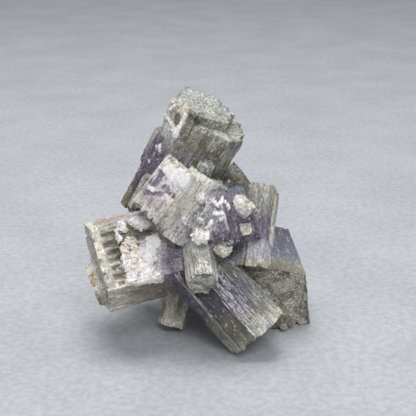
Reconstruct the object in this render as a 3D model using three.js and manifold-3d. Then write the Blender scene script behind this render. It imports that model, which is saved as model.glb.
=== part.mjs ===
// Aragonite cluster: stubby six-sided twins grown out of one another in every direction.
// Millimetres, +Z up. The cluster stands on the tips of its lower crystals, trimmed flat at z = 0.
import * as THREE from "three";
import { mergeVertices } from "three/addons/utils/BufferGeometryUtils.js";
import Module from "manifold-3d";

// ---------------------------------------------------------------- driving dimensions

const MIDDLE = [-1.545, 8.357]; // the x and y of the cluster's middle, moved to the origin
const RIB_PITCH = 3.9;          // the width of one growth rib on a crystal's side
const RIB_DEPTH = 0.7;          // how far a rib may lie under the crystal's outline
const RIM_DROP = 0.5;           // how far the rim of a rough end may break away between its corners
const CORNER_DROP = 0.2;        // how far the rim's corners may break away
const PIT_DEPTH = 0.6;          // how far the middle of a rough end may sink
const PIT_RING = 0.62;          // where the ring of pits lies, as a share of the end's radius
const LEDGE = 0.35;             // the length over which a rib steps to its next height
const LUMP_DENT = 0.14;         // how far a lump's surface may lie under its plain round form
const TRIM = 400;               // the block that is cut away below the standing plane

// Each crystal is a six-sided prism. tip is the middle of its outer end and axis points out through
// it. width and depth are the section across its two corners and across its two broad faces, and
// flat is the broad face's share of the width. facing is the side that a broad face looks to
// (front is -Y), roll turns the section about the axis in degrees, and skew shears it.
const CRYSTALS = [
  {
    name: "tower", tip: [0.5, 8, 64.7], axis: [0.44, -0.18, 0.88], length: 37.2,
    width: 18.6, depth: 15.5, flat: 0.5, roll: -19, ledges: [0.4, 0.78], roughBase: true,
  },
  {
    name: "tower block", tip: [3, 3.3, 59.9], axis: [0.44, -0.18, 0.88], length: 24,
    width: 17, depth: 10, flat: 0.55, roll: 4, ledges: [0.72],
  },
  {
    name: "tower shoulder", tip: [7, 7.5, 58.4], axis: [0.44, -0.18, 0.88], length: 22,
    width: 9.4, depth: 12, flat: 0.5, roll: 8, ledges: [0.6],
  },
  {
    name: "tower flank", tip: [-10.3, 11.7, 56.4], axis: [0.44, -0.18, 0.88], length: 12,
    width: 7, depth: 7, flat: 0.5, roll: 8,
  },
  {
    name: "tower sliver", tip: [-15, 5, 45.6], axis: [0.44, -0.18, 0.88], length: 11,
    width: 3.4, depth: 3.2, flat: 0.5, roll: 0,
  },
  {
    name: "tower corner", tip: [-6.6, 6.2, 65.8], axis: [0.3, -0.18, 0.9], length: 9,
    width: 6, depth: 5, flat: 0.5, roll: -19,
  },
  {
    name: "centre", tip: [-2.9, 0.3, 48.4], axis: [0.62, 0.15, 0.77], length: 16.2,
    width: 20.5, depth: 14, flat: 0.5, roll: -29, ledges: [0.5], roughBase: true,
  },
  {
    name: "centre side", tip: [1.2, 0.4, 47.3], axis: [0.545, 0.15, 0.82], length: 19.5,
    width: 13, depth: 12, flat: 0.5, roll: -34, ledges: [0.4], roughBase: true,
  },
  {
    name: "left", tip: [-29.5, -3, 22], axis: [-0.941, -0.298, -0.161], length: 32,
    width: 26, depth: 20, flat: 0.68, roll: -33, ledges: [0.45, 0.8],
  },
  {
    name: "left end", tip: [-30.9, -4.2, 17.2], axis: [-0.93, -0.25, -0.27], length: 7,
    width: 13, depth: 9, flat: 0.5, roll: -33,
  },
  {
    name: "front foot", tip: [14.6, -9.6, 5.3], axis: [0.669, -0.254, -0.698], length: 28,
    width: 18.2, depth: 14, flat: 0.6, roll: 9, ledges: [0.45, 0.75],
  },
  {
    name: "right upright", tip: [12.4, -5, 23], axis: [-0.1, -0.43, -0.87], length: 22.5,
    width: 10.6, depth: 9, flat: 0.5, roll: 0, ledges: [0.5], roughBase: true,
  },
  {
    name: "right blade", tip: [16.9, -2, 27.5], axis: [-0.12, -0.43, -0.87], length: 15,
    width: 3.4, depth: 5, flat: 0.5, roll: 0, roughBase: true,
  },
  {
    name: "right foot", tip: [20.8, 3.2, 9.8], axis: [0.14, -0.968, -0.2], length: 24,
    width: 21, depth: 17, flat: 0.85, roll: -7, skew: -0.24, facing: "right", ledges: [0.6],
  },
  {
    name: "nose", tip: [-0.5, -16, 23], axis: [0.1, -0.867, -0.4825], length: 14,
    width: 9, depth: 9, flat: 0.5, roll: 0, facing: "up", ledges: [0.6],
  },
  {
    name: "middle", tip: [8.6, -6.6, 29.8], axis: [0.3, -0.48, -0.82], length: 14.5,
    width: 15.5, depth: 13.4, flat: 0.5, roll: 30, ledges: [0.6], roughBase: true,
  },
  {
    name: "middle side", tip: [-1.2, -8.2, 33], axis: [-0.35, -0.45, -0.82], length: 13,
    width: 9, depth: 8, flat: 0.5, roll: 15,
  },
  {
    name: "small foot", tip: [-9.6, 3.2, 1.3], axis: [-0.25, -0.35, -0.9], length: 16,
    width: 9, depth: 8, flat: 0.5, roll: 10, ledges: [0.6],
  },
  {
    name: "shoulder", tip: [5.2, 20, 42.5], axis: [-0.6, 0.2, 0.77], length: 16,
    width: 9, depth: 9, flat: 0.5, roll: 0, roughBase: true,
  },
  {
    name: "wedge", tip: [0.6, -2.5, 51.5], axis: [0.3, -0.3, 0.9], length: 6,
    width: 4.5, depth: 4, flat: 0.5, roll: 0,
  },
  {
    name: "dark crystal", tip: [7, 3, 43.6], axis: [0.3, -0.6, 0.7], length: 6,
    width: 4, depth: 4, flat: 0.5, roll: 0,
  },
  {
    name: "dark crystal beside it", tip: [9, 2, 42.6], axis: [0.5, -0.6, 0.6], length: 6,
    width: 4, depth: 4, flat: 0.5, roll: 0,
  },
  {
    name: "pale block", tip: [11.2, -7, 42], axis: [0.5, -0.3, 0.8], length: 8.5,
    width: 5.6, depth: 5, flat: 0.5, roll: 0,
  },
  {
    name: "pale cube", tip: [11, -10.5, 36.2], axis: [0.3, -0.7, 0.5], length: 4,
    width: 3.6, depth: 3.3, flat: 0.9, roll: 0, facing: "up",
  },
  {
    name: "back", tip: [5, 33, 28], axis: [0.1, 0.95, 0.2], length: 26,
    width: 19, depth: 16, flat: 0.55, roll: 12, facing: "up", ledges: [0.7],
  },
  {
    name: "back left foot", tip: [-9, 27, 4.4], axis: [-0.42, 0.6, -0.68], length: 25,
    width: 14, depth: 13, flat: 0.5, roll: 5, ledges: [0.65],
  },
  {
    name: "back right foot", tip: [17, 27, 4.9], axis: [0.4, 0.62, -0.68], length: 25,
    width: 13, depth: 14, flat: 0.5, roll: -10, ledges: [0.6],
  },
  {
    name: "back upper", tip: [-6, 25, 49], axis: [-0.25, 0.55, 0.8], length: 24,
    width: 14, depth: 12, flat: 0.5, roll: 10, ledges: [0.7],
  },
  {
    name: "back left", tip: [-22, 23, 22], axis: [-0.7, 0.7, 0.05], length: 24,
    width: 13, depth: 12, flat: 0.5, roll: 0, facing: "up", ledges: [0.7],
  },
  {
    name: "back right", tip: [16.5, 26, 27], axis: [0.5, 0.82, 0.1], length: 20,
    width: 11, depth: 12, flat: 0.5, roll: 0, facing: "up", ledges: [0.7],
  },
  {
    name: "back small upper", tip: [8.5, 22, 37.5], axis: [0.5, 0.6, 0.6], length: 12,
    width: 7, depth: 6, flat: 0.5, roll: 0,
  },
  {
    name: "back small lower", tip: [3, 30, 14], axis: [0.05, 0.8, -0.55], length: 14,
    width: 8, depth: 7, flat: 0.5, roll: 0,
  },
  {
    name: "back small left", tip: [-17, 18.5, 34], axis: [-0.6, 0.6, 0.5], length: 12,
    width: 7, depth: 6, flat: 0.5, roll: 0,
  },
];

// Rounded lumps: first the grown-together middle, then the crusts and knobs on the crystals. size is
// the lump's half width, half height and half thickness, and normal is the way its thickness points.
const LEFT_FACE = [0.15, -0.8, 0.58];
const MIDDLE_FACE = [0.1, -0.754, 0.647];
const LUMPS = [
  { name: "middle mass", at: [1, 8, 28], size: [13, 13, 12], normal: [0, -1, 0], detail: 2 },
  { name: "upper mass", at: [-4.5, 9.5, 38.5], size: [9, 6.5, 7.5], normal: [0, -1, 0], detail: 1 },
  { name: "front mass", at: [-1.4, -2.4, 32], size: [6, 6, 6], normal: [0, -1, 0], detail: 0 },
  { name: "knob", at: [5, -11, 30.4], size: [2.8, 2.2, 2.4], normal: [0, -1, 0], detail: 1 },
  { name: "middle crust", at: [-1.3, -12.4, 34.7], size: [2.5, 2.1, 1.2], normal: MIDDLE_FACE, detail: 1 },
  { name: "middle top crust", at: [-0.2, -9.2, 38.4], size: [1.8, 1.7, 1], normal: MIDDLE_FACE, detail: 1 },
  { name: "middle lump", at: [4.4, -11, 35.2], size: [2.8, 2.6, 1.6], normal: MIDDLE_FACE, detail: 1 },
  { name: "left top crust", at: [-16.8, -3.6, 34.9], size: [3.1, 2.1, 1.5], normal: LEFT_FACE, detail: 1 },
  { name: "left second crust", at: [-22.3, -5, 34.2], size: [2, 1.5, 1.1], normal: LEFT_FACE, detail: 1 },
  { name: "left third crust", at: [-19.8, -7.2, 30.9], size: [2.1, 1.9, 0.9], normal: LEFT_FACE, detail: 1 },
  { name: "left broad crust", at: [-14.6, -7.3, 29], size: [4.6, 6, 1.5], normal: LEFT_FACE, detail: 1 },
  { name: "left lower crust", at: [-18.3, -10.4, 25.3], size: [5, 3.4, 1.3], normal: LEFT_FACE, detail: 1 },
  { name: "tower crust", at: [-12.1, 5.6, 53.2], size: [1.4, 1.8, 1], normal: [-0.6, -0.8, 0.2], detail: 1 },
  { name: "foot knob", at: [16.6, -6, 15.6], size: [1.4, 1.4, 1.4], normal: [0, -1, 0], detail: 1 },
  { name: "ground cluster", at: [20.6, 4.4, 2.4], size: [3.2, 2.6, 2.6], normal: [0, -1, 0], detail: 1 },
  { name: "ground cluster side", at: [23.6, 4.4, 1.5], size: [2.2, 1.9, 2], normal: [0, -1, 0], detail: 1 },
  { name: "ground knob", at: [22.4, 2.6, 1.3], size: [1.5, 1.4, 1.5], normal: [0, -1, 0], detail: 1 },
];

const FACINGS = { front: [0, -1, 0], up: [0, 0, 1], right: [1, 0, 0], left: [-1, 0, 0] };

// ---------------------------------------------------------------- helpers

// A repeatable series of numbers from 0 to 1, one series for each name.
function series(name) {
  let state = [...name].reduce((sum, letter) => (sum * 31 + letter.charCodeAt(0)) % 2147483647, 7);
  return () => {
    state = (state * 48271) % 2147483647;
    return state / 2147483647;
  };
}

// Only the positions are left, so that points in the same place count as one.
function stripped(geometry) {
  geometry.deleteAttribute("normal");
  geometry.deleteAttribute("uv");
  return geometry;
}

function solidOf(wasm, geometry) {
  const merged = mergeVertices(stripped(geometry), 1e-5);
  const mesh = new wasm.Mesh({
    numProp: 3,
    vertProperties: new Float32Array(merged.attributes.position.array),
    triVerts: new Uint32Array(merged.index.array),
  });
  return new wasm.Manifold(mesh);
}

// ---------------------------------------------------------------- crystals

// The section's outline, as its points and how far each lies under the plain six-sided section.
function ribbedOutline(crystal, random) {
  const halfWidth = crystal.width / 2;
  const halfDepth = crystal.depth / 2;
  const halfFlat = crystal.flat * halfWidth;
  const shear = (crystal.skew ?? 0) * halfWidth;
  const corners = [
    [halfWidth, 0], [halfFlat + shear, halfDepth], [-halfFlat + shear, halfDepth],
    [-halfWidth, 0], [-halfFlat - shear, -halfDepth], [halfFlat - shear, -halfDepth],
  ].map(([x, y]) => new THREE.Vector2(x, y));
  const points = [];
  corners.forEach((corner, side) => {
    const next = corners[(side + 1) % corners.length];
    const along = next.clone().sub(corner);
    const inward = new THREE.Vector2(-along.y, along.x).normalize();
    const ribs = Math.floor(along.length() / RIB_PITCH);
    points.push({ at: corner, inward, rib: false });
    for (let rib = 0; rib < ribs; rib += 1) {
      for (const share of [0.14, 0.86]) {
        const at = corner.clone().addScaledVector(along, (rib + share) / ribs);
        points.push({ at, inward, rib: `${side}.${rib}` });
      }
    }
  });
  return points.map((point) => ({ ...point, wander: random() }));
}

// The crystal's own directions: the axis, and the section's two, u across the width and v across
// the depth, towards the side that the crystal faces.
function directions(crystal) {
  const axis = new THREE.Vector3(...crystal.axis).normalize();
  const v = new THREE.Vector3(...FACINGS[crystal.facing ?? "front"]);
  v.addScaledVector(axis, -v.dot(axis)).normalize();
  const u = new THREE.Vector3().crossVectors(axis, v);
  return { axis, u, v };
}

function crystalGeometry(crystal) {
  const random = series(crystal.name);
  const outline = ribbedOutline(crystal, random);
  const { axis, u, v } = directions(crystal);
  const roll = THREE.MathUtils.degToRad(crystal.roll);
  const tip = new THREE.Vector3(...crystal.tip);
  const small = Math.min(1, crystal.width / 14);

  // Stations along the length, in pairs that are a ledge apart, from the base to the tip.
  const stations = [-crystal.length];
  for (const share of crystal.ledges ?? []) {
    const middle = (share - 1) * crystal.length;
    stations.push(middle - LEDGE, middle + LEDGE);
  }
  stations.push(0);

  const positions = [];
  const place = (point, under, along, shrink = 1) => {
    const flat = point.at.clone().addScaledVector(point.inward, under).multiplyScalar(shrink);
    flat.rotateAround(new THREE.Vector2(), roll);
    const spot = tip.clone().addScaledVector(u, flat.x).addScaledVector(v, flat.y);
    spot.addScaledVector(axis, along);
    positions.push(spot.x, spot.y, spot.z);
  };

  // Each stretch between two ledges has its own rib heights.
  const stretchDepths = [];
  for (let stretch = 0; stretch < stations.length / 2; stretch += 1) {
    const depths = {};
    outline.forEach(({ rib }) => {
      if (rib) depths[rib] ??= RIB_DEPTH * small * random();
    });
    stretchDepths.push(depths);
  }
  stations.forEach((along, ring) => {
    const atEnd = ring === stations.length - 1;
    const atBase = ring === 0 && crystal.roughBase;
    outline.forEach((point) => {
      const under = point.rib ? stretchDepths[Math.floor(ring / 2)][point.rib] : 0;
      const broken = (point.rib ? RIM_DROP : CORNER_DROP) * small * point.wander;
      place(point, under, along - (atEnd ? broken : 0) + (atBase ? broken : 0));
    });
  });

  const count = outline.length;
  const triangles = [];
  for (let ring = 0; ring + 1 < stations.length; ring += 1) {
    for (let i = 0; i < count; i += 1) {
      const j = (i + 1) % count;
      const [near, nearNext] = [ring * count + i, ring * count + j];
      const [far, farNext] = [near + count, nearNext + count];
      triangles.push(near, farNext, nearNext, near, far, farNext);
    }
  }

  // The ends: a ring of pits and a middle point on the tip, a plain fan on the base.
  const tipRing = (stations.length - 1) * count;
  const pitRing = positions.length / 3;
  outline.forEach((point) => place(point, 0, -PIT_DEPTH * small * random() * random(), PIT_RING));
  const tipMiddle = positions.length / 3;
  positions.push(...tip.clone().addScaledVector(axis, -PIT_DEPTH * small / 4));
  const baseMiddle = positions.length / 3;
  positions.push(...tip.clone().addScaledVector(axis, -crystal.length));
  for (let i = 0; i < count; i += 1) {
    const j = (i + 1) % count;
    triangles.push(tipRing + i, pitRing + j, tipRing + j, tipRing + i, pitRing + i, pitRing + j);
    triangles.push(pitRing + i, tipMiddle, pitRing + j);
    triangles.push(i, j, baseMiddle);
  }

  const geometry = new THREE.BufferGeometry();
  geometry.setAttribute("position", new THREE.Float32BufferAttribute(positions, 3));
  geometry.setIndex(triangles);
  return geometry;
}

// ---------------------------------------------------------------- lumps

function lumpGeometry({ name, at, size, normal, detail }) {
  const random = series(name);
  const geometry = mergeVertices(stripped(new THREE.IcosahedronGeometry(1, detail)), 1e-5);
  const position = geometry.attributes.position;
  for (let i = 0; i < position.count; i += 1) {
    const swell = 1 - LUMP_DENT * random();
    position.setXYZ(i, position.getX(i) * swell, position.getY(i) * swell, position.getZ(i) * swell);
  }
  const turn = new THREE.Matrix4().lookAt(
    new THREE.Vector3(...normal), new THREE.Vector3(), new THREE.Vector3(0, 0, 1),
  );
  return geometry.scale(...size).applyMatrix4(turn).translate(...at);
}

// ---------------------------------------------------------------- the cluster

async function buildCluster() {
  const wasm = await Module();
  wasm.setup();
  let cluster = null;
  for (const geometry of [...LUMPS.map(lumpGeometry), ...CRYSTALS.map(crystalGeometry)]) {
    const solid = solidOf(wasm, geometry);
    cluster = cluster ? cluster.add(solid) : solid;
  }
  const below = new THREE.BoxGeometry(TRIM, TRIM, TRIM).translate(0, 0, -TRIM / 2);
  cluster = cluster.subtract(solidOf(wasm, below));

  const mesh = cluster.getMesh();
  const geometry = new THREE.BufferGeometry();
  geometry.setAttribute("position", new THREE.BufferAttribute(mesh.vertProperties, 3));
  geometry.setIndex(new THREE.BufferAttribute(mesh.triVerts, 1));
  geometry.translate(-MIDDLE[0], -MIDDLE[1], 0);
  geometry.computeVertexNormals();
  return geometry;
}

const stone = new THREE.Mesh(
  await buildCluster(),
  new THREE.MeshStandardMaterial({ color: 0x9a948a, roughness: 0.6, metalness: 0 }),
);
stone.name = "aragonite_cluster";

const group = new THREE.Group();
group.add(stone);

export default group;
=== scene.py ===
"""Aragonite cluster: the looks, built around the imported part.

Every crystal is a six-sided prism with the same tip, axis and section as the CAD solid. Here its
sides carry the fine growth strips, its ends the grains and terraces, and crusts stand on both.
Lengths are in millimetres until a mesh is made, which turns them into metres.
"""
import itertools
import math
from collections import namedtuple
from types import SimpleNamespace

import bmesh
import bpy
import numpy as np
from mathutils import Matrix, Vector


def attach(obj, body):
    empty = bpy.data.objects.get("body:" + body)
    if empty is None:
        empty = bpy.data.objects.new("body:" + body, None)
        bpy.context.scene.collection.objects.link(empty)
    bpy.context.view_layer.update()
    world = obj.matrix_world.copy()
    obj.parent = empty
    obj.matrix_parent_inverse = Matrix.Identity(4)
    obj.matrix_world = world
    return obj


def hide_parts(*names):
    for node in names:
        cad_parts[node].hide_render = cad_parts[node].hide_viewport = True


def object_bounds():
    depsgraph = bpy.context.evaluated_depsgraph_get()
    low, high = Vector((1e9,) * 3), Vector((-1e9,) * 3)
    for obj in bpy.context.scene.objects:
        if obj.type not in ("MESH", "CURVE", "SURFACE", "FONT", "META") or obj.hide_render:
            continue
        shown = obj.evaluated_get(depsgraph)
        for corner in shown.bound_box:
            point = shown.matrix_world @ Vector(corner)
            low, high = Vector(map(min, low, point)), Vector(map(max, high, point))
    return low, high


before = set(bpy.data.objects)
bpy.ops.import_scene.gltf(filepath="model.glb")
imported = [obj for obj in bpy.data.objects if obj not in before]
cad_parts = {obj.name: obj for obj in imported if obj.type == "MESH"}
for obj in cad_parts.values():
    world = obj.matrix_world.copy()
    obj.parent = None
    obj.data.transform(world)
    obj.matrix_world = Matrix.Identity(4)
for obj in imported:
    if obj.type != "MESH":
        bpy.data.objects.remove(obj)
cad_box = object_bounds()

NODE = "aragonite_cluster"
MIDDLE = np.array([-1.545, 8.357, 0.0])   # the cluster's middle, which the part has at its origin
MM = 0.001

# ---------- driving dimensions

SIDE_STEP = 0.26          # mesh pitch round a crystal
LENGTH_STEP = 0.46        # mesh pitch along a crystal
END_STEP = 0.36           # mesh pitch from an end's rim to its middle
FULL_WIDTH = 10.0         # a crystal narrower than this has relief in proportion
COARSE_STRIP = 2.4        # width of the broad growth strips on a side
FINE_STRIP = 0.80         # width of the narrow ones
THREAD = 0.42             # width of the threads within a strip, light and dark by turns
STRIP_LENGTH = 8.0        # how far a broad strip runs before it steps to another height
STRIP_SWAY = 0.35         # how far the strips wander round the crystal
COARSE_DEPTH = 0.32       # how far a broad strip may lie under the outline
FINE_DEPTH = 0.16
GROOVE_DEPTH = 0.5        # depth of the even hollows
LEAF_DEPTH = 0.35         # how much the leaves along a rim differ in height
LEAF_WIDTH = 5.0
CORNER_TURN = 0.8         # how far off a corner a side's inward direction begins to turn
CORNER_CHIP = 0.45        # how far a corner's chips reach, and then how deep they are
CORNER_CHIP_DEPTH = 0.5
RIM_CHIP = 0.5            # how far a rim's chips reach along the crystal
RIM_CHIP_DEPTH = 0.9
RIM_DROP = 1.0            # how far down from the rim its uneven height is felt
GRAIN = 0.80              # size of the grains on a rough end
GRAIN_DEPTH = 0.28
# The white grains are painted glints.
GRAIN_SPARKLE = 0.06      # how many of an end's grains are white
TERRACE = 4.5             # size of an end's terraces
TERRACE_DEPTH = 0.6
CRACK = 0.16              # width of the cracks between grains, as a share of a grain
CRUST_RISE = 0.8          # how far a crust stands off the crystal
CHALK_RISE = 0.14
STRAND_RISE = 0.15        # how far a white strand does
CRUMB = 0.35              # size of a crust's crumbs
CRUSTY = 0.6              # how thick a crust has to lie to carry blades
BLADE_SHARE = 0.07        # how many of a crust's mesh points carry a small blade
BIG_LUMP = 5.0            # a lump larger than this has a finer mesh
SHARP_EDGE = math.radians(24)

CAMERA_AT = np.array([0.85, -249.0, 128.8]) - MIDDLE
CAMERA_PITCH = math.radians(20.0)
LENS = 85.07
SENSOR = 36.0
FLOOR_SIZE = 3.0          # half the floor's width, in metres
LIGHT_AIM = (0, 0, 0.03)  # where the lights look, in metres

# Seeds that keep the noises apart. The last line's are added to a piece's own number.
RAGGED_SEED, SPLINTER_SEED, PATCH_SEED = 71, 73, 81
BLOCK_SEED, CRUMB_SEED, CHALK_SEED = 31, 33, 35
LUMP_SEED, LUMP_BLOCK_SEED, LUMP_CRUMB_SEED = 91, 93, 95
FINE_SEED, THREAD_SEED, BLADE_SEED = 40, 90, 300

# ---------- the crystals

FRONT = (0, -1, 0)
UP = (0, 0, 1)
RIGHT = (1, 0, 0)
TOWER_AXIS = (0.44, -0.18, 0.88)
LEFT_FACE = (0.15, -0.8, 0.58)
MIDDLE_FACE = (0.1, -0.754, 0.647)
SIDES = 6

# A crystal's tip is the middle of its outer end, and its axis points out through it. width and depth
# are the section's size across two corners and across the two broad faces, flat is a broad face's
# share of the width, and skew shifts the broad faces sideways. A broad face looks towards facing,
# turned by roll degrees.
Crystal = namedtuple("Crystal", "name tip axis length width depth roll flat facing skew",
                     defaults=(0.5, FRONT, 0.0))
CRYSTALS = [Crystal(*row) for row in (
    ("tower", (0.5, 8, 64.7), TOWER_AXIS, 37.2, 18.6, 15.5, -19),
    ("tower_block", (3, 3.3, 59.9), TOWER_AXIS, 24, 17, 10, 4, 0.55),
    ("tower_shoulder", (7, 7.5, 58.4), TOWER_AXIS, 22, 9.4, 12, 8),
    ("tower_flank", (-10.3, 11.7, 56.4), TOWER_AXIS, 12, 7, 7, 8),
    ("tower_sliver", (-15, 5, 45.6), TOWER_AXIS, 11, 3.4, 3.2, 0),
    ("tower_corner", (-6.6, 6.2, 65.8), (0.3, -0.18, 0.9), 9, 6, 5, -19),
    ("centre", (-2.9, 0.3, 48.4), (0.62, 0.15, 0.77), 16.2, 20.5, 14, -29),
    ("centre_side", (1.2, 0.4, 47.3), (0.545, 0.15, 0.82), 19.5, 13, 12, -34),
    ("left", (-29.5, -3, 22), (-0.941, -0.298, -0.161), 32, 26, 20, -33, 0.68),
    ("left_end", (-30.9, -4.2, 17.2), (-0.93, -0.25, -0.27), 7, 13, 9, -33),
    ("front_foot", (14.6, -9.6, 5.3), (0.669, -0.254, -0.698), 28, 18.2, 14, 9, 0.6),
    ("right_upright", (12.4, -5, 23), (-0.1, -0.43, -0.87), 22.5, 10.6, 9, 0),
    ("right_blade", (16.9, -2, 27.5), (-0.12, -0.43, -0.87), 15, 3.4, 5, 0),
    ("right_foot", (20.8, 3.2, 9.8), (0.14, -0.968, -0.2), 24, 21, 17, -7, 0.85, RIGHT, -0.24),
    ("nose", (-0.5, -16, 23), (0.1, -0.867, -0.4825), 14, 9, 9, 0, 0.5, UP),
    ("middle", (8.6, -6.6, 29.8), (0.3, -0.48, -0.82), 14.5, 15.5, 13.4, 30),
    ("middle_side", (-1.2, -8.2, 33), (-0.35, -0.45, -0.82), 13, 9, 8, 15),
    ("small_foot", (-9.6, 3.2, 1.3), (-0.25, -0.35, -0.9), 16, 9, 8, 10),
    ("shoulder", (5.2, 20, 42.5), (-0.6, 0.2, 0.77), 16, 9, 9, 0),
    ("wedge", (0.6, -2.5, 51.5), (0.3, -0.3, 0.9), 6, 4.5, 4, 0),
    ("dark_crystal", (7, 3, 43.6), (0.3, -0.6, 0.7), 6, 4, 4, 0),
    ("dark_crystal_beside", (9, 2, 42.6), (0.5, -0.6, 0.6), 6, 4, 4, 0),
    ("pale_block", (11.2, -7, 42), (0.5, -0.3, 0.8), 8.5, 5.6, 5, 0),
    ("pale_cube", (11, -10.5, 36.2), (0.3, -0.7, 0.5), 4, 3.6, 3.3, 0, 0.9, UP),
    ("back", (5, 33, 28), (0.1, 0.95, 0.2), 26, 19, 16, 12, 0.55, UP),
    ("back_left_foot", (-9, 27, 4.4), (-0.42, 0.6, -0.68), 25, 14, 13, 5),
    ("back_right_foot", (17, 27, 4.9), (0.4, 0.62, -0.68), 25, 13, 14, -10),
    ("back_upper", (-6, 25, 49), (-0.25, 0.55, 0.8), 24, 14, 12, 10),
    ("back_left", (-22, 23, 22), (-0.7, 0.7, 0.05), 24, 13, 12, 0, 0.5, UP),
    ("back_right", (16.5, 26, 27), (0.5, 0.82, 0.1), 20, 11, 12, 0, 0.5, UP),
    ("back_small_upper", (8.5, 22, 37.5), (0.5, 0.6, 0.6), 12, 7, 6, 0),
    ("back_small_lower", (3, 30, 14), (0.05, 0.8, -0.55), 14, 8, 7, 0),
    ("back_small_left", (-17, 18.5, 34), (-0.6, 0.6, 0.5), 12, 7, 6, 0),
)]

# A lump's size is half its width, height and thickness, and normal the way of the thickness.
Lump = namedtuple("Lump", "name at size normal tone")
LUMPS = [Lump(*row) for row in (
    ("middle_mass", (1, 8, 28), (13, 13, 12), FRONT, "grey"),
    ("upper_mass", (-4.5, 9.5, 38.5), (9, 6.5, 7.5), FRONT, "grey"),
    ("front_mass", (-1.4, -2.4, 32), (6, 6, 6), FRONT, "lilac"),
    ("knob", (5, -11, 30.4), (2.8, 2.2, 2.4), FRONT, "cream"),
    ("middle_crust", (-1.3, -12.4, 34.7), (2.5, 2.1, 1.2), MIDDLE_FACE, "chalk"),
    ("middle_top_crust", (-0.2, -9.2, 38.4), (1.8, 1.7, 1), MIDDLE_FACE, "chalk"),
    ("middle_lump", (4.4, -11, 35.2), (2.8, 2.6, 1.6), MIDDLE_FACE, "purple"),
    ("left_top_crust", (-17.3, -4.9, 35.8), (3.3, 2.1, 1.5), LEFT_FACE, "chalk"),
    ("left_second_crust", (-22.3, -5, 34.2), (2, 1.5, 1.1), LEFT_FACE, "chalk"),
    ("left_third_crust", (-19.8, -7.2, 30.9), (2.1, 1.9, 0.9), LEFT_FACE, "chalk"),
    ("left_broad_crust", (-14.6, -7.3, 29), (4.6, 6, 1.5), LEFT_FACE, "lilac_pale"),
    ("left_lower_crust", (-18.1, -10.2, 25.6), (4.6, 3.2, 1.3), LEFT_FACE, "chalk"),
    ("tower_crust", (-12.1, 5.6, 53.2), (0.6, 1.7, 0.6), (-0.6, -0.8, 0.2), "white"),
    ("foot_knob", (16.6, -6, 15.6), (1.4, 1.4, 1.4), FRONT, "olive_pale"),
    ("ground_cluster", (20.6, 4.4, 2.4), (3.2, 2.6, 2.6), FRONT, "olive"),
    ("ground_cluster_side", (23.6, 4.4, 1.5), (2.2, 1.9, 2), FRONT, "olive"),
    ("ground_knob", (22.4, 2.6, 1.3), (1.5, 1.4, 1.5), FRONT, "olive_pale"),
)]

# ---------- tones and where they lie

TONES = {
    "white": (0.97, 0.955, 0.93),
    "ivory": (0.78, 0.74, 0.65),
    "chalk": (0.84, 0.825, 0.80),
    "cream": (0.66, 0.62, 0.53),
    "warm": (0.56, 0.49, 0.38),
    "ash": (0.45, 0.46, 0.42),
    "sand": (0.54, 0.50, 0.42),
    "tan": (0.33, 0.295, 0.235),
    "olive_pale": (0.38, 0.36, 0.295),
    "olive": (0.215, 0.200, 0.155),
    "olive_dark": (0.105, 0.098, 0.076),
    "umber": (0.155, 0.128, 0.096),
    "grey": (0.22, 0.22, 0.212),
    "grey_pink": (0.40, 0.340, 0.330),
    "brown": (0.24, 0.19, 0.14),
    "lilac_white": (0.62, 0.58, 0.615),
    "lilac_pale": (0.50, 0.475, 0.515),
    "lilac": (0.29, 0.265, 0.32),
    "slate": (0.140, 0.147, 0.190),
    "purple": (0.160, 0.130, 0.180),
    "purple_dark": (0.075, 0.060, 0.085),
}
# White of the flecks, partly the stone's own white frost and partly painted glints, and of the painted
# highlight lines.
FLECK_AND_GLINT_WHITE = (0.88, 0.86, 0.82, 1)

# What a crystal's traits are unless its look says otherwise. ribs and fine say how deep its broad and
# narrow strips are, sink how far the side lies back in mm, lines how much of it long white lines
# of painted highlight cover, frost how thickly white flecks lie, partly the stone's own white
# frost and partly painted glints, streak how strongly light and dark strips take turns and how strong
# the painted highlight and shade on the strips' edges are, and lap how far down the end's leaves reach
# in mm.
TRAITS = dict(ribs=1.0, fine=1.0, sink=0.0, lines=0.0, frost=0.5, streak=1.0, lap=-1.0)


def look(run, end, *bands, ragged=0.6, grain=1.0, grooves=None, **traits):
    """How a crystal looks. run is its tone from the tip down, as distances in mm and tones.

    end is the tone of its rough ends, ragged how far the rim breaks away, and grain how coarse the
    ends are. grooves are even hollows side by side: where round and along the crystal, how wide.
    """
    return SimpleNamespace(run=run, end=end, bands=bands, ragged=ragged, grain=grain,
                           grooves=grooves, traits={**TRAITS, **traits})


def band(first, last, run=None, base_sides=None, **traits):
    """What differs between two places round the section, which may lie elsewhere at the base.

    A place is a side's number and a share of that side.
    """
    sides = (first, last)
    return SimpleNamespace(sides=sides, base_sides=base_sides or sides, run=run, traits=traits)


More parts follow.
